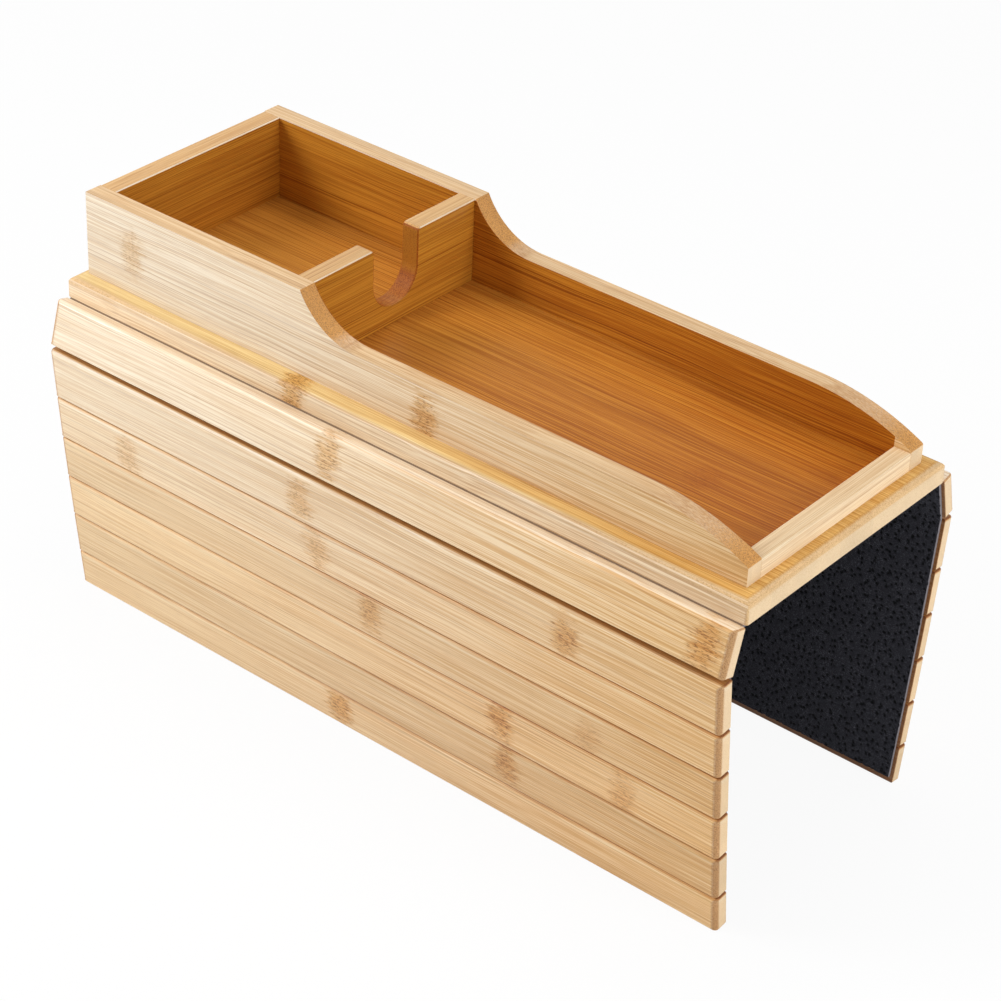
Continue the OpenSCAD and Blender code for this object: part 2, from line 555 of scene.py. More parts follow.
    def cut_ends(self, graph: Graph, place: Socket, facing: Socket,
                 lift: Socket) -> tuple[Socket, Socket]:
        """Draws the cut ends of the fibres, pale on a flat end and golden on a rounded one.

        Args:
            graph: The material's graph.
            place: The place in the plank.
            facing: How far the surface faces along the fibres.
            lift: The brightness of the lamina's tone.

        Returns:
            The colour, and the grit of the fibres' ends.
        """
        flat_end = graph.ramp(facing, 0.90, 0.985)
        grit = graph.ramp(graph.noise(place, self.grit_size, 2.0, 0.6), 0.44, 0.66)
        share = graph.times(grit, graph.math("MULTIPLY_ADD", flat_end, -0.40, 0.80))
        ends = graph.mix(share, graph.mix(flat_end, self.band_pale, self.end_pale),
                         graph.mix(flat_end, self.band_dot, self.end_dot))
        return graph.scale(ends, lift), grit

    def jointed(self, graph: Graph, colour: Socket, forward: Socket) -> Socket:
        """Warms a slat towards the rear, and paints highlight and shade on its edge at the joint
        with the slat above.

        Args:
            graph: The material's graph.
            colour: The colour so far.
            forward: The share of the way to the front.

        Returns:
            The colour.
        """
        warmth, run, _ = graph.split(graph.attribute("panel"))
        rearward = graph.math("MULTIPLY_ADD", forward, -0.75, 1.0)
        colour = self.tinted(graph, colour, graph.times(warmth, rearward), self.warm_tint)
        for tint, far, near in self.joint_tints:
            colour = self.tinted(graph, colour, graph.ramp(run, far, near), tint)
        return colour

    def in_bays(self, graph: Graph, colour: Socket, facing: Socket, lines: Socket) -> Socket:
        """Paints shade inside the tray's bays, deepening the tone of the surfaces there and of
        their fibres.

        Args:
            graph: The material's graph.
            colour: The colour so far.
            facing: The upward part of the surface's normal.
            lines: The strength of the fibres.

        Returns:
            The colour.
        """
        (rear, side, low), (front, _, high) = self.bay
        x, y, z = graph.split(graph.node("ShaderNodeTexCoord").outputs["Object"])
        mask = graph.math("LESS_THAN", graph.math("ABSOLUTE", y), side)
        for socket, limit, how in ((x, rear, "GREATER_THAN"), (x, front, "LESS_THAN"),
                                   (z, low, "GREATER_THAN"), (z, high, "LESS_THAN")):
            mask = graph.times(mask, graph.math(how, socket, limit))
        flat = graph.ramp(facing, 0.5, 0.9)
        mask = graph.times(mask, graph.math("MULTIPLY_ADD", flat, -0.06, 1.0))
        colour = self.tinted(graph, colour, mask, self.bay_tint)
        return self.tinted(graph, colour, graph.times(mask, lines), self.bay_fibre)

    def make(self) -> bpy.types.Material:
        """Builds the material.

        Returns:
            The material.
        """
        material, graph, shader = new_material(self.name)
        place = graph.attribute("grain")
        along, across, through = graph.split(place)
        sway = graph.minus(graph.noise(place, self.sway_size, 1.0), 0.5)
        strand = graph.join(along, graph.plus(across, graph.times(sway, self.sway)), through)
        coordinates = graph.node("ShaderNodeTexCoord").outputs
        x, y, _ = graph.split(coordinates["Object"])
        normals = graph.split(coordinates["Normal"])
        forward = graph.ramp(x, self.gold_from, self.gold_to)

        fine, line, dash, fibres = self.strands(graph, strand, forward)
        colour = graph.mix(fibres, self.pale, self.fibre)
        colour = graph.mix(graph.times(line, self.line_share), colour, self.mark)
        colour = graph.mix(graph.times(dash, self.dash_share), colour, self.mark)
        colour, lift = self.laminated(graph, colour, place, strand)
        colour = self.knotted(graph, colour, place, strand)

        facing = graph.math("ABSOLUTE", normals[self.cut_axis])
        cut = graph.ramp(facing, 0.10, 0.42)
        whole = graph.minus(1.0, cut)
        # Painted shade: golden towards the front, on the faces picked by how far they face up,
        # stronger in the fibres.
        golden = graph.times(forward, graph.ramp(normals[2], *self.gold_facing))
        fibrous = graph.math("MULTIPLY_ADD", fibres, 0.5, 0.8)
        golden = graph.times(graph.times(golden, whole), fibrous)
        colour = self.tinted(graph, colour, golden, self.gold)
        # Painted shade on upward faces.
        rim = graph.times(graph.ramp(normals[2], 0.8, 0.97), whole)
        colour = self.tinted(graph, colour, rim, self.rim_tint)
        # Painted shade on the faces that turn inwards.
        inward = graph.times(graph.math("SIGN", y), graph.times(normals[1], -1.0))
        colour = self.tinted(graph, colour, graph.ramp(inward, 0.6, 0.85), self.back_tint)

        ends, grit = self.cut_ends(graph, place, facing, lift)
        colour = graph.mix(graph.times(cut, self.cut_share), colour, ends)
        rim_line = graph.times(graph.ramp(facing, 0.03, 0.12), graph.ramp(facing, 0.40, 0.16))
        colour = graph.mix(graph.times(rim_line, self.rim_line_share), colour, self.mark)
        # Painted highlight and shade at the slats' joints.
        if self.joint_tints:
            colour = self.jointed(graph, colour, forward)
        # Painted shade inside the bays.
        if self.bay:
            lines = graph.math("MAXIMUM", line, graph.times(fibres, 0.9))
            colour = self.in_bays(graph, colour, normals[2], lines)
        graph.feed(shader.inputs["Base Color"], colour)

        rough = graph.plus(self.roughness, graph.times(cut, 0.2))
        rough = graph.plus(rough, graph.times(graph.minus(fine, 0.5), 0.18))
        graph.feed(shader.inputs["Roughness"], rough)
        shader.inputs["Specular IOR Level"].default_value = self.gloss

        relief = graph.minus(graph.times(fine, 0.5), graph.times(dash, 0.5))
        relief = graph.minus(relief, graph.times(graph.times(cut, grit), 0.9))
        graph.bump(shader, relief, 0.35, 0.12 * MM)
        return material


@dataclass(frozen=True)
class FeltCloth:
    """Near-black needled felt with pits, light flecks and a paler cut edge.

    It reads the UV map "flat", the place on the cloth in metres, and "rim", 1 on a cut edge and
    2 on the glued face.
    """

    name: str = "felt"
    dark: Colour = srgb(43, 43, 50)
    fleck: Colour = srgb(124, 124, 134)
    pit: Colour = srgb(7, 7, 9)
    rim: Colour = srgb(128, 124, 128)
    glue: Colour = srgb(150, 124, 100)

    def make(self) -> bpy.types.Material:
        """Builds the material.

        Returns:
            The material.
        """
        material, graph, shader = new_material(self.name)
        flat = graph.node("ShaderNodeUVMap", uv_map="flat").outputs["UV"]
        rim = graph.node("ShaderNodeAttribute", attribute_name="rim").outputs["Fac"]
        pits = pit_field(graph, flat)

        fleck = None
        for turn in (0.4, 1.5, 2.6):
            lean = graph.node("ShaderNodeMapping")
            lean.inputs["Rotation"].default_value = (0.0, 0.0, turn)
            graph.feed(lean.inputs["Vector"], flat)
            hair = graph.noise(lean.outputs[0], (1.5 * MM, 0.16 * MM, 1.0), 1.0)
            hair = graph.ramp(hair, 0.60, 0.76)
            fleck = hair if fleck is None else graph.math("MAXIMUM", fleck, hair)
        cloud = graph.ramp(graph.noise(flat, (7 * MM, 7 * MM, 1.0), 3.0, 0.6), 0.3, 0.72)
        fuzz = graph.times(fleck, graph.plus(0.3, graph.times(cloud, 0.6)))

        colour = graph.mix(fuzz, self.dark, self.fleck)
        colour = graph.mix(pits, colour, self.pit)
        colour = graph.mix(rim, colour, self.rim)
        colour = graph.mix(graph.minus(rim, 1.0), colour, self.glue)
        graph.feed(shader.inputs["Base Color"], colour)
        shader.inputs["Roughness"].default_value = 0.92
        shader.inputs["Specular IOR Level"].default_value = 0.2
        shader.inputs["Sheen Weight"].default_value = 0.15
        shader.inputs["Sheen Roughness"].default_value = 0.5
        shader.inputs["Sheen Tint"].default_value = (0.75, 0.78, 0.9, 1.0)

        grain = graph.noise(flat, (0.5 * MM, 0.5 * MM, 1.0), 3.0, 0.7)
        height = graph.plus(graph.times(grain, 0.6), graph.times(fleck, 0.5))
        graph.bump(shader, height, 0.6, 0.3 * MM)
        return material


@dataclass(frozen=True)
class ScrewSteel:
    """Zinc-plated steel of the countersunk screws."""

    name: str = "screw_steel"
    bright: Colour = srgb(176, 178, 180)
    dull: Colour = srgb(138, 138, 134)
    haze_size: Triple = (1.2 * MM, 1.2 * MM, 1.2 * MM)

    def make(self) -> bpy.types.Material:
        """Builds the material.

        Returns:
            The material.
        """
        material, graph, shader = new_material(self.name)
        place = graph.node("ShaderNodeTexCoord").outputs["Object"]
        haze = graph.noise(place, self.haze_size, 3.0, 0.6)
        graph.feed(shader.inputs["Base Color"], graph.mix(haze, self.bright, self.dull))
        graph.feed(shader.inputs["Roughness"], graph.plus(0.25, graph.times(haze, 0.25)))
        shader.inputs["Metallic"].default_value = 1.0
        return material


def pit_field(graph: Graph, flat: Socket) -> Socket:
    """The pits that needling leaves in the felt, alike in its mesh and in its material.

    Args:
        graph: The graph of either tree.
        flat: The place on the cloth, in metres.

    Returns:
        1 in the middle of a pit and 0 between the pits.
    """
    wobble = graph.node("ShaderNodeTexNoise")
    graph.feed(wobble.inputs["Vector"], graph.vector("MULTIPLY", flat, (1 / (1.3 * MM),) * 3))
    wobble.inputs["Scale"].default_value = 1.0
    wobble.inputs["Detail"].default_value = 1.0
    shift = graph.vector("SUBTRACT", wobble.outputs["Color"], (0.5, 0.5, 0.5))
    moved = graph.vector("MULTIPLY_ADD", shift, (2.0 * MM, 2.0 * MM, 0.0), flat)
    cells = graph.node("ShaderNodeTexVoronoi", voronoi_dimensions="2D")
    graph.feed(cells.inputs["Vector"], graph.vector("MULTIPLY", moved, (1 / (3.0 * MM),) * 3))
    cells.inputs["Scale"].default_value = 1.0
    cells.inputs["Randomness"].default_value = 0.9
    near = graph.ramp(cells.outputs["Distance"], 0.31, 0.13)
    kept = graph.ramp(graph.split(cells.outputs["Color"])[0], 0.08, 0.14)
    return graph.times(near, kept)


class Modeller:
    """A Geometry Nodes tree with named inputs, which turns into a plain mesh."""

    def __init__(self, name: str, inputs: dict[str, float | bpy.types.Material]) -> None:
        """Makes the tree and its inputs.

        Args:
            name: The tree's name.
            inputs: Each input's name and its value to start from.
        """
        self.group = bpy.data.node_groups.new(name, "GeometryNodeTree")
        self.graph = Graph(self.group)
        face = self.group.interface
        face.new_socket("Geometry", in_out="OUTPUT", socket_type="NodeSocketGeometry")
        self.identifiers: dict[str, str] = {}
        for label, value in inputs.items():
            kinds = {float: "NodeSocketFloat", int: "NodeSocketInt"}
            kind = kinds.get(type(value), "NodeSocketMaterial")
            made = face.new_socket(label, in_out="INPUT", socket_type=kind)
            self.identifiers[label] = made.identifier
            if kind != "NodeSocketMaterial":
                made.default_value = value
        self.given = self.graph.node("NodeGroupInput")

    def close(self, geometry: Socket) -> None:
        """Ends the tree with its material.

        Args:
            geometry: What the tree has made.
        """
        real = self.graph.node("GeometryNodeRealizeInstances")
        dressed = self.graph.node("GeometryNodeSetMaterial")
        out = self.graph.node("NodeGroupOutput")
        self.graph.feed(real.inputs["Geometry"], geometry)
        self.graph.feed(dressed.inputs["Geometry"], real.outputs["Geometry"])
        self.graph.feed(dressed.inputs["Material"], self.given.outputs["Finish"])
        self.graph.feed(out.inputs[0], dressed.outputs["Geometry"])

    def mesh(self, name: str, bevel: float = 0.0, **values: object) -> bpy.types.Mesh:
        """Runs the tree.

        Args:
            name: The mesh's name.
            bevel: Full width of a weighted bevel after the tree, or 0 for none.
            values: The inputs' values, with underscores for the spaces in their names.

        Returns:
            The plain mesh.
        """
        carrier = bpy.data.objects.new(name, bpy.data.meshes.new(name + "_blank"))
        bpy.context.scene.collection.objects.link(carrier)
        modifier = carrier.modifiers.new("model", "NODES")
        modifier.node_group = self.group
        for label, value in values.items():
            modifier[self.identifiers[label.replace("_", " ")]] = value
        if bevel:
            add_bevel(carrier, bevel, 6)
        made = plain_mesh(carrier)
        made.name = name
        return made


def add_bevel(piece: bpy.types.Object, width: float, segments: int) -> None:
    """Adds a bevel that follows the edges' bevel weights.

    Args:
        piece: The object.
        width: Width where the weight is 1.
        segments: Faces across a rounded edge.
    """
    bevel = piece.modifiers.new("eased", "BEVEL")
    bevel.width = width
    bevel.segments = segments
    bevel.limit_method = "WEIGHT"
    bevel.harden_normals = True
    bevel.miter_outer = "MITER_ARC"


def plain_mesh(carrier: bpy.types.Object) -> bpy.types.Mesh:
    """Turns an object with modifiers into a mesh that has their result.

    Args:
        carrier: The object, which is removed.

    Returns:
        The mesh.
    """
    bpy.context.view_layer.update()
    evaluated = carrier.evaluated_get(bpy.context.evaluated_depsgraph_get())
    made = bpy.data.meshes.new_from_object(evaluated)
    bpy.data.objects.remove(carrier)
    return made


def corners(mesh: bpy.types.Mesh) -> np.ndarray:
    """Reads a mesh's vertices.

    Args:
        mesh: The mesh.

    Returns:
        One row of x, y, z for each vertex.
    """
    found = np.empty(len(mesh.vertices) * 3, np.float32)
    mesh.vertices.foreach_get("co", found)
    return found.reshape(-1, 3).astype(float)


def write_vectors(mesh: bpy.types.Mesh, name: str, rows: np.ndarray) -> None:
    """Writes a vector attribute on the vertices.

    Args:
        mesh: The mesh.
        name: The attribute's name.
        rows: One row for each vertex.
    """
    made = mesh.attributes.get(name) or mesh.attributes.new(name, "FLOAT_VECTOR", "POINT")
    made.data.foreach_set("vector", rows.astype(np.float32).ravel())


def show(name: str, mesh: bpy.types.Mesh) -> bpy.types.Object:
    """Puts a mesh in the scene as an object at the origin.

    Args:
        name: The object's name.
        mesh: The mesh.

    Returns:
        The object.
    """
    made = bpy.data.objects.new(name, mesh)
    bpy.context.scene.collection.objects.link(made)
    LOG.info("%s: %d faces", name, len(mesh.polygons))
    return made


@dataclass(frozen=True)
class Knuckle:
    """A joint mark of the cane: its place along X and across the plank, and its strength."""

    x: float
    across: float
    strength: float = 1.0


@dataclass(frozen=True)
class Plank:
    """What sets one plank's grain apart from its neighbours'."""

    offset: Triple
    marks: tuple[Knuckle, ...] = ()

    def write(self, mesh: bpy.types.Mesh, place: np.ndarray) -> None:
        """Writes the attributes that the bamboo reads.

        Args:
            mesh: The plank's mesh.
            place: Each vertex's place along, across and through the plank.
        """
        write_vectors(mesh, "grain", place + np.array(self.offset))
        for number, name in enumerate(KNUCKLES):
            row = NO_KNUCKLE
            if number < len(self.marks):
                mark = self.marks[number]
                row = (mark.x + self.offset[0], mark.across + self.offset[1], mark.strength)
            write_vectors(mesh, name, np.tile(row, (len(mesh.vertices), 1)))


@dataclass
class Fold:
    """A fold line of a panel, read from the frame's hinge.

    It lies on the face of the felt that is glued to the wood. "line" is its distance from the
    middle of the board on the flat cloth.
    """

    side: Side
    number: int
    y: float
    z: float
    bend: float
    slope: float
    line: float

    @property
    def joint_bodies(self) -> tuple[str, str]:
        """The bodies before and after the fold."""
        before = "tray" if self.number == 1 else f"{self.side.word}_leaf_{self.number - 1}"
        return before, f"{self.side.word}_leaf_{self.number}"

    def point(self) -> np.ndarray:
        """The fold's place across the tray and up."""
        return np.array([self.y, self.z])

    def down(self, slope: float) -> np.ndarray:
        """The direction down a panel that has a slope."""
        return np.array([self.side.value * math.cos(slope), -math.sin(slope)])

    def out(self, slope: float) -> np.ndarray:
        """The direction out of a panel that has a slope."""
        return np.array([self.side.value * math.sin(slope), math.cos(slope)])

    def bent(self, run: np.ndarray, lift: np.ndarray, half: float) -> np.ndarray:
        """Takes places on the flat cloth round the fold.

        Args:
            run: Distance past the fold line on the flat cloth.
            lift: Height over the cloth's glued face, which is 0 or less.
            half: Half the width of the stretch that bends.

        Returns:
            Each place as y and z.
        """
        before, after = self.slope - self.bend, self.slope
        down_a, out_a = self.down(before), self.out(before)
        down_b, out_b = self.down(after), self.out(after)
        flat_a = self.point() + run[:, None] * down_a + lift[:, None] * out_a
        if self.bend < TINY:
            return flat_a
        flat_b = self.point() + run[:, None] * down_b + lift[:, None] * out_b
        radius = half / math.tan(self.bend / 2)
        centre = self.point() - half * down_a - radius * out_a
        turn = np.clip((run + half) / (2 * half), 0, 1) * self.bend
        arm = np.cos(turn)[:, None] * out_a + np.sin(turn)[:, None] * down_a
        arc = centre + (radius + lift)[:, None] * arm
        early = (run <= -half)[:, None]
        late = (run >= half)[:, None]
        return np.where(early, flat_a, np.where(late, flat_b, arc))


def read_folds(joints: Sequence[dict], side: Side) -> list[Fold]:
    """Reads a panel's fold lines from the frame.

    Args:
        joints: The frame's joints.
        side: The panel's side.

    Returns:
        The folds, from the board's edge down.
    """
    named = {joint["name"]: joint for joint in joints}
    folds: list[Fold] = []
    slope = 0.0
    while f"{side.word}_fold_{len(folds) + 1}" in named:
        joint = named[f"{side.word}_fold_{len(folds) + 1}"]
        _, y, z = joint["pos_m"]
        bend = math.radians(-joint["range_deg"][0])
        slope += bend
        line = folds[-1].line + math.hypot(y - folds[-1].y, z - folds[-1].z) if folds else abs(y)
        folds.append(Fold(side, len(folds) + 1, y, z, bend, slope, line))
    return folds


def span(node: bpy.types.Object, fold: Fold) -> tuple[float, float, float, float]:
    """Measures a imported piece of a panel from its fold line.

    Args:
        node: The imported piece.
        fold: Its fold.

    Returns:
        Its start and stop down the panel, and its inner and outer height over the glued face.
    """
    local = corners(node.data)[:, 1:] - fold.point()
    run, lift = local @ fold.down(fold.slope), local @ fold.out(fold.slope)
    return float(run.min()), float(run.max()), float(lift.min()), float(lift.max())


@dataclass
class TrayBox:
    """The board and the box on it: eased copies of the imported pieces, dressed as bamboo.

    An edge is eased where the faces turn by more than "crease". A place lies on a side of a
    piece within "touch", and on its underside within "foot".
    """

    ease: float = 0.7 * MM
    crease: float = math.radians(28)
    touch: float = 0.1 * MM
    foot: float = 0.5 * MM
    # Each finish paints shade: golden towards the front, a tint on upward faces, and a deeper tone
    # inside the bays.
    board_finish: Bamboo = field(default_factory=lambda: Bamboo(
        "board_bamboo", pale=srgb(251, 232, 202), fibre=srgb(213, 173, 124),
        gold_facing=(0.93, 0.99), rim_tint=(0.98, 0.93, 0.65), band_pale=srgb(228, 192, 142),
        band_dot=srgb(188, 142, 90), lamina=23.2 * MM, layer=10.2 * MM, gloss=0.16))
    wall_finish: Bamboo = field(default_factory=lambda: Bamboo(
        "box_bamboo", rim_tint=(0.80, 0.65, 0.47), band_pale=srgb(210, 150, 74)))
    cross_finish: Bamboo = field(default_factory=lambda: Bamboo(
        "box_bamboo_cross", cut_axis=1, gold_from=0.5, gold_to=0.9, rim_tint=(0.72, 0.52, 0.30)))
    rail_finish: Bamboo = field(default_factory=lambda: Bamboo(
        "box_bamboo_rail", pale=srgb(246, 227, 194), fibre=srgb(209, 169, 120), cut_axis=1,
        gold_from=0.5, gold_to=0.9, rim_tint=(0.90, 0.83, 0.74)))

    def seam_ease(self, name: str, edge: bmesh.types.BMEdge) -> Ease:
        """Says how far an edge of a box piece is eased.

        Args:
            name: The piece's node.
            edge: The edge.

        Returns:
            The ease.
        """
        if len(edge.link_faces) != 2 or edge.calc_face_angle(0.0) < self.crease:
            return Ease.NONE
        lo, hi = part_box(name)
        middle = (edge.verts[0].co + edge.verts[1].co) / 2
        bottom = middle.z < lo.z + self.foot
        hole = bottom and lo.x + MM < middle.x < hi.x - MM and lo.y + MM < middle.y < hi.y - MM
        if hole or edge.calc_length() < TINY:
            return Ease.NONE
        butts = name in ("rear_wall", "divider", "front_rail")
        at_side = min(abs(middle.y - lo.y), abs(middle.y - hi.y)) < self.touch
        at_end = min(abs(middle.x - lo.x), abs(middle.x - hi.x)) < self.touch
        inner = abs(abs(middle.y) - min(abs(lo.y), abs(hi.y))) < self.touch
        if bottom or (butts and at_side) or (not butts and inner and at_end):
            return Ease.SEAM
        return Ease.FULL

    def eased_copy(self, name: str, node: bpy.types.Object) -> bpy.types.Mesh:
        """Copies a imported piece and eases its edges.

        Args:
            name: The piece's node.
            node: The node's object.

        Returns:
            The new mesh.
        """
        work = bmesh.new()
        work.from_mesh(node.data)
        bmesh.ops.remove_doubles(work, verts=work.verts, dist=1e-6)
        bmesh.ops.dissolve_limit(
            work, angle_limit=math.radians(0.4), verts=work.verts, edges=work.edges)
        bmesh.ops.recalc_face_normals(work, faces=work.faces)
        weight = work.edges.layers.float.new("bevel_weight_edge")
        if name != "base_board":
            for edge in work.edges:
                edge[weight] = self.seam_ease(name, edge).value
        blank = bpy.data.meshes.new(name + "_blank")
        work.to_mesh(blank)
        work.free()
        blank.shade_smooth()
        blank.set_sharp_from_angle(angle=math.radians(32))
        carrier = bpy.data.objects.new(name + "_blank", blank)
        bpy.context.scene.collection.objects.link(carrier)
        if name != "base_board":
            add_bevel(carrier, self.ease, 3)
        return plain_mesh(carrier)

    @staticmethod
    def bays() -> tuple[Triple, Triple]:
        """Measures the room inside the walls, just past their inner faces.

        Returns:
            Its rear low corner and its front high corner, both on the far side.
        """
        skin = 0.2 * MM
        side = -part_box("near_side_wall")[1].y + skin
        rear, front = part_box("rear_wall")[1].x - skin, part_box("front_rail")[0].x + skin
        low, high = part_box("near_side_wall")
        return (rear, side, low.z - skin), (front, side, high.z - 0.6 * MM)

    def build(self, frame: dict) -> None:
        """Makes the pieces and puts them on the tray.

        Args:
            frame: The loaded frame.
        """
        bays = self.bays()
        # Each finish gets the bays' corners for its painted shade inside them.
        board, wall, cross, rail = (replace(finish, bay=bays).make() for finish in (
            self.board_finish, self.wall_finish, self.cross_finish, self.rail_finish))
        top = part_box("base_board")[1].z
        near = Plank((0.31, 0.2 - top, 0.4), (
            Knuckle(-0.152, 0.020 + top, 0.55), Knuckle(0.016, 0.007 + top)))
        far = Plank((1.77, 0.6 - top, 0.8))
        plan = {
            "base_board": (board, Grain.LONG_FLAT, "board_bamboo", Plank((0.0, 0.1, 0.0), (
                Knuckle(-0.050, -0.066), Knuckle(0.120, -0.010, 0.3)))),
            "near_side_wall": (wall, Grain.LONG_UPRIGHT, "box_bamboo", near),
            "far_side_wall": (wall, Grain.LONG_UPRIGHT, "box_bamboo", far),
            "rear_wall": (cross, Grain.CROSS_UPRIGHT, "box_bamboo", Plank((2.9, 1.0 - top, 1.2))),
            "divider": (cross, Grain.CROSS_UPRIGHT, "box_bamboo", Plank((3.7, 1.4 - top, 1.6))),
            "front_rail": (rail, Grain.CROSS_UPRIGHT, "box_bamboo", Plank((4.5, 1.8 - top, 2.0))),
        }
        for name, (finish, grain, slot, plank) in plan.items():
            mesh = self.eased_copy(name, frame["nodes"][name])
            mesh.materials.clear()
            mesh.materials.append(finish)
            plank.write(mesh, corners(mesh)[:, list(grain.axes)])
            piece = show(f"{name}_wood", mesh)
            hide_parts(name)
            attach(piece, "tray")


# Painted light on the slats: shade on their inner faces, and at each joint a highlight on the
# rounded edge, then orange and dark shade down into the gap.
SLAT_FINISH = Bamboo(
    "slat_bamboo", back_tint=(0.52, 0.38, 0.30), gold_facing=(0.99, 0.85),
    band_pale=srgb(196, 150, 98), lamina=45 * MM, layer=25 * MM, roughness=0.38, gloss=0.40,
    joint_tints=(((0.99, 1.04, 1.12), 4.4 * MM, 2.6 * MM),
                 ((0.82, 0.63, 0.40), 2.0 * MM, 1.1 * MM),
                 ((0.60, 0.44, 0.29), 1.1 * MM, 0.62 * MM)))
SLAT_MARKS: dict[Side, dict[int, tuple[Knuckle, ...]]] = {
    Side.NEAR: {
        1: (Knuckle(-0.0205, 0.0105, 0.8), Knuckle(0.174, 0.011)),
        2: (Knuckle(-0.034, 0.014, 0.7), Knuckle(0.109, 0.015, 0.9)),
        3: (Knuckle(-0.026, 0.010, 0.6), Knuckle(-0.140, 0.013, 0.5)),
        4: (Knuckle(0.003, 0.008, 0.8), Knuckle(0.120, 0.015, 0.4)),
        5: (Knuckle(0.0735, 0.008), Knuckle(0.1375, 0.013, 0.6)),
        6: (Knuckle(0.0755, 0.009, 0.9),),
        7: (Knuckle(-0.020, 0.008),),
    },
    Side.FAR: {
        2: (Knuckle(0.065, 0.012),),
        4: (Knuckle(-0.088, 0.011), Knuckle(0.131, 0.010, 0.7)),
        6: (Knuckle(-0.012, 0.012),),
    },
}


@dataclass
class SlatPanel:
    """One hanging panel: seven slats on the folds of the felt.

    "warmth" is the share of the warm tint on each slat, 1 where it isn't given. "rounded_from"
    is the height over the felt where the rounding of a slat's edge starts.
    """

    side: Side
    folds: list[Fold]
    nodes: dict[str, bpy.types.Object]
    finish: bpy.types.Material
    modeller: Modeller
    end_ease: float = 3.0 * MM
    grain_step: Triple = (0.613, 0.09, 0.05)
    warmth: dict[int, float] = field(default_factory=lambda: {1: 0.1, 2: 0.3, 3: 0.55, 4: 0.9})
    rounded_from: float = 4.6 * MM

    def shading(self, fold: Fold, place: np.ndarray) -> np.ndarray:
        """Works out what the bamboo reads as "panel", which places the painted highlight and shade
        at each joint.

        The first slat has no slat above it, and the second one's rounded edge is in the light.

        Args:
            fold: The slat's fold.
            place: Each vertex's place along the slat, down from the fold and out from the felt.

        Returns:
            The slat's warmth and the distance from the joint line, for each vertex.
        """
        rounded = np.clip(place[:, 2] - self.rounded_from, 0.0, None)
        away = {1: 10 * MM, 2: rounded}.get(fold.number, 0.18 * rounded)
        rows = np.zeros_like(place)
        rows[:, 0] = self.warmth.get(fold.number, 1.0)
        rows[:, 1] = place[:, 1] + away
        return rows

    @staticmethod
    def blank(finish: bpy.types.Material) -> Modeller:
        """Builds the tree that makes a slat with a weight on each edge that is eased.

        Args:
            finish: The slats' material.

        Returns:
            The modeller.
        """
        model = Modeller("slat", {
            "Length": 0.37, "Width": 0.0212, "Thickness": 0.007, "Long Ease": 0.73, "Low Ease": 0.3,
            "End Ease": 1.0, "Corner Ease": 0.3, "Inner Ease": 0.1, "Finish": finish})
        graph, given = model.graph, model.given.outputs
        cube = graph.node("GeometryNodeMeshCube")
        size = graph.join(given["Length"], given["Width"], given["Thickness"])
        graph.feed(cube.inputs["Size"], size)
        x, y, z = graph.split(graph.node("GeometryNodeInputPosition").outputs[0])
        long_edge, end_edge, corner = (
            graph.math("LESS_THAN", graph.math("ABSOLUTE", axis), TINY) for axis in (x, y, z))
        upper, low_edge = (graph.math("GREATER_THAN", axis, TINY) for axis in (z, y))
        lower = graph.math("LESS_THAN", z, -TINY)
        drop = graph.times(low_edge, graph.minus(given["Low Ease"], given["Long Ease"]))
        long_ease = graph.times(long_edge, graph.plus(given["Long Ease"], drop))
        outer = graph.times(upper, graph.plus(long_ease, graph.times(end_edge, given["End Ease"])))
        rest = graph.plus(graph.times(corner, given["Corner Ease"]),
                          graph.times(lower, given["Inner Ease"]))
        store = graph.node("GeometryNodeStoreNamedAttribute", data_type="FLOAT", domain="EDGE")
        graph.feed(store.inputs["Geometry"], cube.outputs["Mesh"])
        store.inputs["Name"].default_value = "bevel_weight_edge"
        graph.feed(store.inputs["Value"], graph.plus(outer, rest))
        smooth = graph.node("GeometryNodeSetShadeSmooth")
        graph.feed(smooth.inputs["Geometry"], store.outputs["Geometry"])
        model.close(smooth.outputs["Geometry"])
        return model

    def build(self) -> None:
        """Makes the slats and puts each on its leaf."""
        for fold in self.folds:
            name = f"{self.side.word}_slat_{fold.number}"
            low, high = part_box(name)
            start, stop, inner, outer = span(self.nodes[name], fold)
            mesh = self.modeller.mesh(
                name, bevel=self.end_ease, Length=high.x - low.x, Width=stop - start,
                Thickness=outer - inner, Finish=self.finish)
            turn = 1 if self.side is Side.FAR else -1
            down, out = fold.down(fold.slope), fold.out(fold.slope)
            centre = fold.point() + down * (start + stop) / 2 + out * (inner + outer) / 2
            mesh.transform(Matrix((
                (turn, 0, 0, 0), (0, down[0], out[0], centre[0]),
                (0, down[1], out[1], centre[1]), (0, 0, 0, 1))))
            found = corners(mesh)
            local = found[:, 1:] - fold.point()
            place = np.stack([found[:, 0], local @ down, local @ out], 1)
            step = fold.number + (10 if self.side is Side.FAR else 0)
            plank = Plank(tuple(size * step for size in self.grain_step),
                          SLAT_MARKS[self.side].get(fold.number, ()))
            plank.write(mesh, place)
            write_vectors(mesh, "panel", self.shading(fold, place))
            piece = show(f"{name}_wood", mesh)
            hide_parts(name)
            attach(piece, fold.joint_bodies[1])


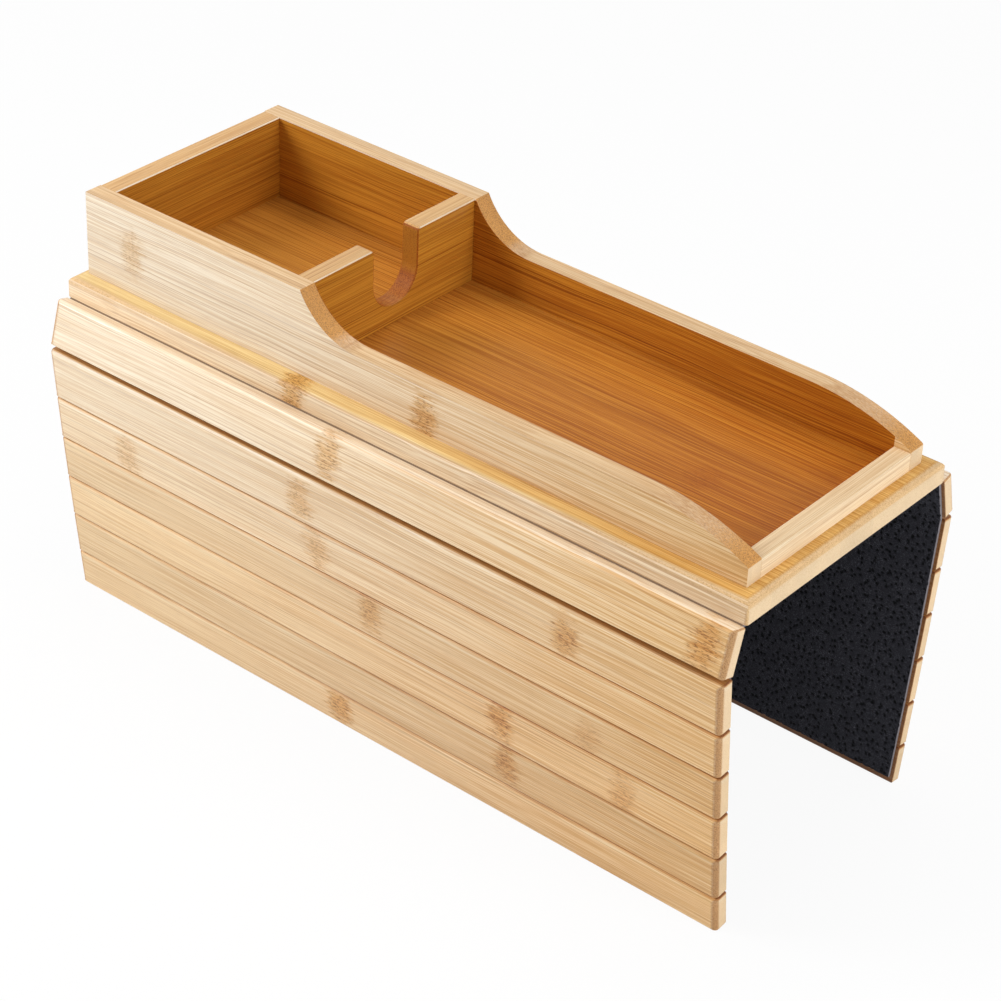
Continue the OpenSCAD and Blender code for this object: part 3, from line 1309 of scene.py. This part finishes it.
@dataclass
class FeltLining:
    """The cloth under the board and behind the slats, in pieces that join in mid slat.

    The piece over a fold is made bent round it at rest, and the piece under the board lies still. A
    field that ends in "cell" is the size of the mesh's cells, and "nap" is the height of the
    cloth's waves.
    """

    panels: dict[Side, list[Fold]]
    nodes: dict[str, bpy.types.Object]
    finish: bpy.types.Material
    thickness: float = 1.5 * MM
    length: float = 366.6 * MM
    first_seam: float = 58.5 * MM
    bend_half: float = 1.4 * MM
    board_cell: float = 0.7 * MM
    cell: float = 0.56 * MM
    pit_depth: float = 0.5 * MM
    nap: float = 0.16 * MM
    nap_size: Triple = (2.2 * MM, 2.2 * MM, 1.0)
    hair: float = 0.9 * MM
    hair_radius: float = 0.05 * MM
    hair_pitch: float = 0.55 * MM
    hair_scale: tuple[float, float] = (0.35, 1.0)
    lean_from: Triple = (0.7, -0.9, 0.0)
    lean_to: Triple = (2.3, 0.9, 6.2)
    surfaces: Modeller = field(init=False)
    fuzzes: Modeller = field(init=False)

    def __post_init__(self) -> None:
        """Builds the two trees that the pieces share."""
        self.surfaces, self.fuzzes = self.surface(), self.fuzz()

    def surface(self) -> Modeller:
        """Builds the tree that makes the inner face with its pits.

        Returns:
            The modeller.
        """
        model = Modeller("felt_face", {
            "Length": 0.364, "Width": 0.022, "Start": 0.0, "Cells Along": 520, "Cells Across": 32,
            "Pit Depth": 0.0004, "Finish": self.finish})
        graph, given = model.graph, model.given.outputs
        grid = graph.node("GeometryNodeMeshGrid")
        graph.feed(grid.inputs["Size X"], given["Length"])
        graph.feed(grid.inputs["Size Y"], given["Width"])
        graph.feed(grid.inputs["Vertices X"], given["Cells Along"])
        graph.feed(grid.inputs["Vertices Y"], given["Cells Across"])
        shift = graph.plus(given["Start"], graph.times(given["Width"], 0.5))
        position = graph.node("GeometryNodeInputPosition").outputs[0]
        flat = graph.vector("ADD", position, graph.join(0.0, shift, 0.0))
        dent = graph.times(pit_field(graph, flat), given["Pit Depth"])
        wave = graph.minus(graph.noise(flat, self.nap_size, 2.0), 0.5)
        height = graph.plus(dent, graph.times(wave, self.nap))
        x, y, _ = graph.split(flat)
        move = graph.node("GeometryNodeSetPosition")
        graph.feed(move.inputs["Geometry"], grid.outputs["Mesh"])
        graph.feed(move.inputs["Position"], graph.join(x, y, height))
        model.close(move.outputs["Geometry"])
        return model

    def fuzz(self) -> Modeller:
        """Builds the tree that makes the loose fibres along a cut edge.

        Returns:
            The modeller.
        """
        model = Modeller("felt_fuzz", {
            "Run": 0.02, "Hairs": 40, "Hair": 0.0009, "Seed": 3, "Finish": self.finish})
        graph, given = model.graph, model.given.outputs
        line = graph.node("GeometryNodeMeshLine", mode="END_POINTS", count_mode="TOTAL")
        graph.feed(line.inputs["Count"], given["Hairs"])
        graph.feed(line.inputs["Offset"], graph.join(given["Run"], 0.0, 0.0))
        hair = graph.node("GeometryNodeMeshCone")
        hair.inputs["Vertices"].default_value = 3
        hair.inputs["Radius Top"].default_value = 0.0
        hair.inputs["Radius Bottom"].default_value = self.hair_radius
        graph.feed(hair.inputs["Depth"], given["Hair"])
        place = graph.node("GeometryNodeInstanceOnPoints")
        graph.feed(place.inputs["Points"], line.outputs["Mesh"])
        graph.feed(place.inputs["Instance"], hair.outputs["Mesh"])
        lean = graph.node("FunctionNodeRandomValue", data_type="FLOAT_VECTOR")
        lean.inputs["Min"].default_value = self.lean_from
        lean.inputs["Max"].default_value = self.lean_to
        graph.feed(lean.inputs["Seed"], given["Seed"])
        size = graph.node("FunctionNodeRandomValue", data_type="FLOAT")
        size.inputs[2].default_value, size.inputs[3].default_value = self.hair_scale
        graph.feed(size.inputs["Seed"], graph.plus(given["Seed"], 5.0))
        graph.feed(place.inputs["Rotation"], lean.outputs["Value"])
        graph.feed(place.inputs["Scale"], size.outputs[1])
        model.close(place.outputs["Instances"])
        return model

    def closed(self, name: str, face: bpy.types.Mesh, along: int,
               across: int) -> tuple[np.ndarray, list[list[int]], list[int]]:
        """Gives the inner face a rim and a back.

        Args:
            name: The piece's name, for an error.
            face: The inner face, a grid of points with X slowest.
            along: Points along X.
            across: Points across.

        Returns:
            The points on the flat cloth, the faces, and which faces are rim.
        """
        top = corners(face)
        if len(top) != along * across:
            raise ValueError(f"{name}: the felt's face has {len(top)} points")
        index = np.arange(along * across).reshape(along, across)
        ring = np.concatenate([index[:, 0], index[-1, 1:], index[-2::-1, -1], index[0, -2:0:-1]])
        back = {int(point): len(top) + k for k, point in enumerate(ring)}
        under = top[ring].copy()
        under[:, 2] = self.thickness
        quads = [index[:-1, :-1], index[:-1, 1:], index[1:, 1:], index[1:, :-1]]
        faces: list[list[int]] = np.stack(quads, -1).reshape(-1, 4).tolist()
        count = len(faces)
        for a, b in zip(ring, np.roll(ring, -1)):
            faces.append([int(a), int(b), back[int(b)], back[int(a)]])
        rim = [0] * count + [1] * (len(faces) - count)
        for row in range(across - 1):
            low = index[:, row] if row == 0 else index[[0, -1], row]
            high = index[::-1, row + 1] if row == across - 2 else index[[-1, 0], row + 1]
            faces.append([back[int(point)] for point in (*low, *high)])
            rim.append(2)
        return np.concatenate([top, under]), faces, rim

    def piece(self, name: str, fold: Fold | None, start: float, stop: float,
              edges: Sequence[str]) -> bpy.types.Object:
        """Makes one piece of the cloth.

        Args:
            name: The piece's name.
            fold: The fold that it bends over, or None under the board.
            start: Where it starts across the flat cloth, from the middle of the board.
            stop: Where it stops.
            edges: The cut edges with fuzz: "ends" and "hem".

        Returns:
            The object.
        """
        width = stop - start
        cell = self.cell if fold else self.board_cell
        along = round(self.length / cell) + 1
        across = round(width / cell) + 1
        face = self.surfaces.mesh(
            name, Length=self.length, Width=width, Start=start, Cells_Along=along,
            Cells_Across=across, Pit_Depth=self.pit_depth, Finish=self.finish)
        points, faces, rim = self.closed(name, face, along, across)
        hair_points, hair_faces = self.fibres(fold, start, stop, edges)
        faces += (hair_faces + len(points)).tolist()
        rim += [1] * len(hair_faces)
        points = np.concatenate([points, hair_points])
        mesh = bpy.data.meshes.new(name)
        mesh.from_pydata(self.hung(points, fold).tolist(), [], faces)
        flat = mesh.uv_layers.new(name="flat")
        loops = np.empty(len(mesh.loops), np.int32)
        mesh.loops.foreach_get("vertex_index", loops)
        flat.uv.foreach_set("vector", points[loops, :2].astype(np.float32).ravel())
        mark = mesh.attributes.new("rim", "FLOAT", "FACE")
        mark.data.foreach_set("value", np.array(rim, np.float32))
        mesh.materials.append(self.finish)
        work = bmesh.new()
        work.from_mesh(mesh)
        bmesh.ops.recalc_face_normals(work, faces=work.faces)
        work.to_mesh(mesh)
        work.free()
        mesh.shade_smooth()
        mesh.set_sharp_from_angle(angle=math.radians(62))
        return show(name, mesh)

    def fibres(self, fold: Fold | None, start: float, stop: float,
               edges: Sequence[str]) -> tuple[np.ndarray, np.ndarray]:
        """Makes the loose fibres of a piece on the flat cloth.

        Args:
            fold: The fold that the piece bends over, or None.
            start: Where the piece starts.
            stop: Where it stops.
            edges: The cut edges with fuzz.

        Returns:
            The points, and the faces as rows of three.
        """
        half = self.length / 2
        seed = 7 + (0 if fold is None else fold.number * fold.side.value)
        runs: list[tuple[tuple[float, float], tuple[int, int], float]] = []
        if "ends" in edges:
            runs += [((half, start), (0, 1), stop - start), ((-half, stop), (0, -1), stop - start)]
        if "hem" in edges:
            hem = ((half, stop), (-1, 0)) if fold.side is Side.FAR else ((-half, start), (1, 0))
            runs.append((*hem, self.length))
        points, faces = [np.zeros((0, 3))], [np.zeros((0, 3), int)]
        count = 0
        for number, (origin, way, run) in enumerate(runs):
            made = self.fuzzes.mesh(
                "fuzz", Run=run, Hairs=int(run / self.hair_pitch), Hair=self.hair,
                Seed=seed + 31 * number, Finish=self.finish)
            made.calc_loop_triangles()
            triangles = np.empty(len(made.loop_triangles) * 3, np.int32)
            made.loop_triangles.foreach_get("vertices", triangles)
            raw = corners(made)
            outward = np.array([way[1], -way[0]])
            flat = np.array(origin) + raw[:, :1] * np.array(way) + raw[:, 2:] * outward
            lift = self.thickness * 0.5 + raw[:, 1]
            points.append(np.column_stack([flat, lift]))
            faces.append(triangles.reshape(-1, 3) + count)
            count += len(raw)
        return np.concatenate(points), np.concatenate(faces)

    def hung(self, points: np.ndarray, fold: Fold | None) -> np.ndarray:
        """Takes points from the flat cloth to their places.

        Args:
            points: Places along and across the flat cloth, and the height over its inner face.
            fold: The fold that they bend over, or None under the board.

        Returns:
            The places in the frame.
        """
        if fold is None:
            return points
        run = points[:, 1] * fold.side.value - fold.line
        bent = fold.bent(run, points[:, 2] - self.thickness, self.bend_half)
        return np.column_stack([points[:, 0], bent])

    def build(self) -> None:
        """Makes the whole lining."""
        seam = self.first_seam
        board = self.piece("board_lining_felt", None, -seam, seam, ("ends",))
        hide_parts("board_lining")
        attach(board, "tray")
        for side, folds in self.panels.items():
            lines = [fold.line for fold in folds]
            hem = lines[-1] + span(self.nodes[f"{side.word}_lining_{len(folds)}"], folds[-1])[1]
            joins = [seam] + [(a + b) / 2 for a, b in zip(lines, lines[1:])] + [hem]
            for fold, start, stop in zip(folds, joins, joins[1:]):
                low, high = (start, stop) if side is Side.FAR else (-stop, -start)
                edges = ("ends", "hem") if stop == hem else ("ends",)
                name = f"{side.word}_lining_{fold.number}"
                piece = self.piece(f"{name}_felt", fold, low, high, edges)
                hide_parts(name)
                reach = self.bend_half
                before = fold.point() - reach * fold.down(fold.slope - fold.bend)
                after = fold.point() + reach * fold.down(fold.slope)
                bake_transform(piece)


@dataclass(frozen=True)
class Softbox:
    """A square area lamp aimed at a point."""

    name: str
    place: Triple
    aim: Triple
    size: float
    power: float
    colour: Colour = WHITE

    def light(self) -> None:
        """Puts the lamp in the scene."""
        lamp = bpy.data.lights.new(self.name, "AREA")
        lamp.shape = "SQUARE"
        lamp.size = self.size
        lamp.energy = self.power
        lamp.color = self.colour
        made = bpy.data.objects.new(self.name, lamp)
        made.location = self.place
        ray = Vector(self.aim) - Vector(self.place)
        made.rotation_euler = ray.to_track_quat("-Z", "Y").to_euler()
        bpy.context.scene.collection.objects.link(made)


@dataclass
class Studio:
    """Camera, lamps, world and floor."""

    azimuth: float = 38.24
    elevation: float = 33.06
    roll: float = 2.65
    distance: float = 1.271
    aim: Triple = (9.54 * MM, 0.0, -52.96 * MM)
    lens: float = 105.3
    ambient: float = 0.31
    floor_reach: float = 6.0
    floor_glow: float = 0.93
    boxes: tuple[Softbox, ...] = (
        Softbox("key", (-0.95, -0.8, 0.75), (-0.05, 0.0, -0.02), 0.7, 15.0),
        Softbox("right", (1.25, 0.05, 0.35), (0.1, 0.0, -0.04), 0.7, 8.5),
        Softbox("top", (-0.1, 0.25, 1.3), (0.0, 0.0, 0.0), 0.9, 7.0),
    )

    def camera(self) -> None:
        """Puts the camera where the photograph was taken from."""
        turn, rise, roll = (math.radians(a) for a in (self.azimuth, self.elevation, self.roll))
        level = math.cos(rise)
        back = Vector((math.sin(turn) * level, -math.cos(turn) * level, math.sin(rise)))
        right = Vector((math.cos(turn), math.sin(turn), 0.0))
        up = back.cross(right)
        rolled = right * math.cos(roll) + up * math.sin(roll)
        upright = up * math.cos(roll) - right * math.sin(roll)
        data = bpy.data.cameras.new("camera")
        data.sensor_width = 36.0
        data.lens = self.lens
        data.clip_start, data.clip_end = 0.05, 30.0
        made = bpy.data.objects.new("camera", data)
        turned = Matrix((rolled, upright, back)).transposed().to_4x4()
        made.matrix_world = Matrix.Translation(Vector(self.aim) + back * self.distance) @ turned
        bpy.context.scene.collection.objects.link(made)
        bpy.context.scene.camera = made

    @staticmethod
    def seen(graph: Graph) -> Socket:
        """Finds the rays that see the backdrop, straight or in a gloss.

        Args:
            graph: The graph of the world or of the floor.

        Returns:
            1 for such a ray.
        """
        path = graph.node("ShaderNodeLightPath")
        seen = graph.math("MAXIMUM", path.outputs["Is Camera Ray"], path.outputs["Is Glossy Ray"])
        return graph.math("MAXIMUM", seen, path.outputs["Is Transmission Ray"])

    def world(self) -> None:
        """Makes a soft white surround."""
        world = bpy.data.worlds.new("studio")
        bpy.context.scene.world = world
        world.use_nodes = True
        graph = Graph(world.node_tree)
        ground = world.node_tree.nodes["Background"]
        ground.inputs["Color"].default_value = (1.0, 1.0, 1.0, 1.0)
        lift = graph.math("MULTIPLY_ADD", self.seen(graph), 1.0 - self.ambient, self.ambient)
        graph.feed(ground.inputs["Strength"], lift)

    def floor(self, height: float) -> None:
        """Lays a white floor that keeps a faint shadow.

        Args:
            height: The floor's height.
        """
        material, graph, shader = new_material("floor")
        cloud = graph.noise(graph.node("ShaderNodeTexCoord").outputs["Object"], (0.4, 0.4, 0.4))
        tone = graph.mix(cloud, (0.86, 0.86, 0.86), (0.84, 0.84, 0.84))
        graph.feed(shader.inputs["Base Color"], tone)
        shader.inputs["Roughness"].default_value = 0.9
        glow = graph.node("ShaderNodeEmission")
        mixed = graph.node("ShaderNodeMixShader")
        graph.feed(mixed.inputs[0], graph.times(self.seen(graph), self.floor_glow))
        graph.feed(mixed.inputs[1], shader.outputs[0])
        graph.feed(mixed.inputs[2], glow.outputs[0])
        graph.feed(material.node_tree.nodes["Material Output"].inputs["Surface"], mixed.outputs[0])
        mesh = bpy.data.meshes.new("floor")
        square = ((-1, -1), (1, -1), (1, 1), (-1, 1))
        places = [(x * self.floor_reach, y * self.floor_reach, height) for x, y in square]
        mesh.from_pydata(places, [], [(0, 1, 2, 3)])
        mesh.materials.append(material)
        show("floor", mesh)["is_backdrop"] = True

    def build(self, height: float) -> None:
        """Sets up the whole studio.

        Args:
            height: The floor's height.
        """
        bpy.context.scene.view_settings.view_transform = "Standard"
        self.camera()
        self.world()
        self.floor(height)
        for box in self.boxes:
            box.light()


def main() -> None:
    """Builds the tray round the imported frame."""
    logging.basicConfig(level=logging.INFO, format="%(name)s %(message)s")
    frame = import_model()
    cad_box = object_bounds()
    for stray in [o for o in bpy.data.objects if o.type in ("LIGHT", "CAMERA")]:
        bpy.data.objects.remove(stray)

    Studio().build(cad_box[0].z)
    TrayBox().build(frame)

    panels = {side: read_folds(frame["joints"], side) for side in Side}
    slat_bamboo = SLAT_FINISH.make()
    blank = SlatPanel.blank(slat_bamboo)
    for side, folds in panels.items():
        SlatPanel(side, folds, frame["nodes"], slat_bamboo, blank).build()
    FeltLining(panels, frame["nodes"], FeltCloth().make()).build()

    screws = frame["nodes"]["box_screws"]
    screws.data.materials.clear()
    screws.data.materials.append(ScrewSteel().make())
    LOG.info("box_screws: dressed in steel")


if __name__ == "__main__":
    main()
